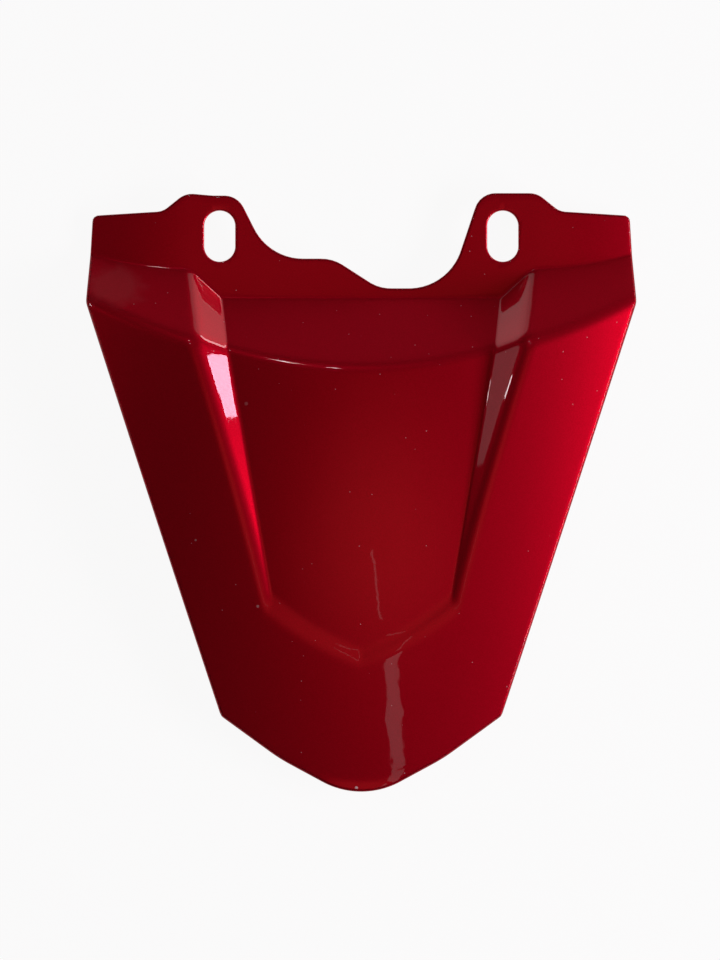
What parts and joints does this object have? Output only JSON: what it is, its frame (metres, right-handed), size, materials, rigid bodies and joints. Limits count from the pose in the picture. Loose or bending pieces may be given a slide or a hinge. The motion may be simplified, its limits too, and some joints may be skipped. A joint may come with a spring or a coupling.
{
  "type": "motorcycle tail cover",
  "caption": "Thin moulded tail cover with slotted ears, a sloping band, a crowned top with a recessed panel, and a pointed nose.",
  "frame": {"origin": "centre of the bounding box in plan, on the plane that the flange ends and the nose rest on", "axes": "+Y from the nose to the slotted ears, +Z the painted outer side, +X to the right seen from above with the ears away from the viewer"},
  "size_m": [0.1808, 0.1975, 0.0265],
  "materials": {
    "paint": "candy metallic red paint under clear lacquer on moulded plastic"
  },
  "bodies": {
    "root": {"tail_cover": "paint"}
  },
  "joints": []
}
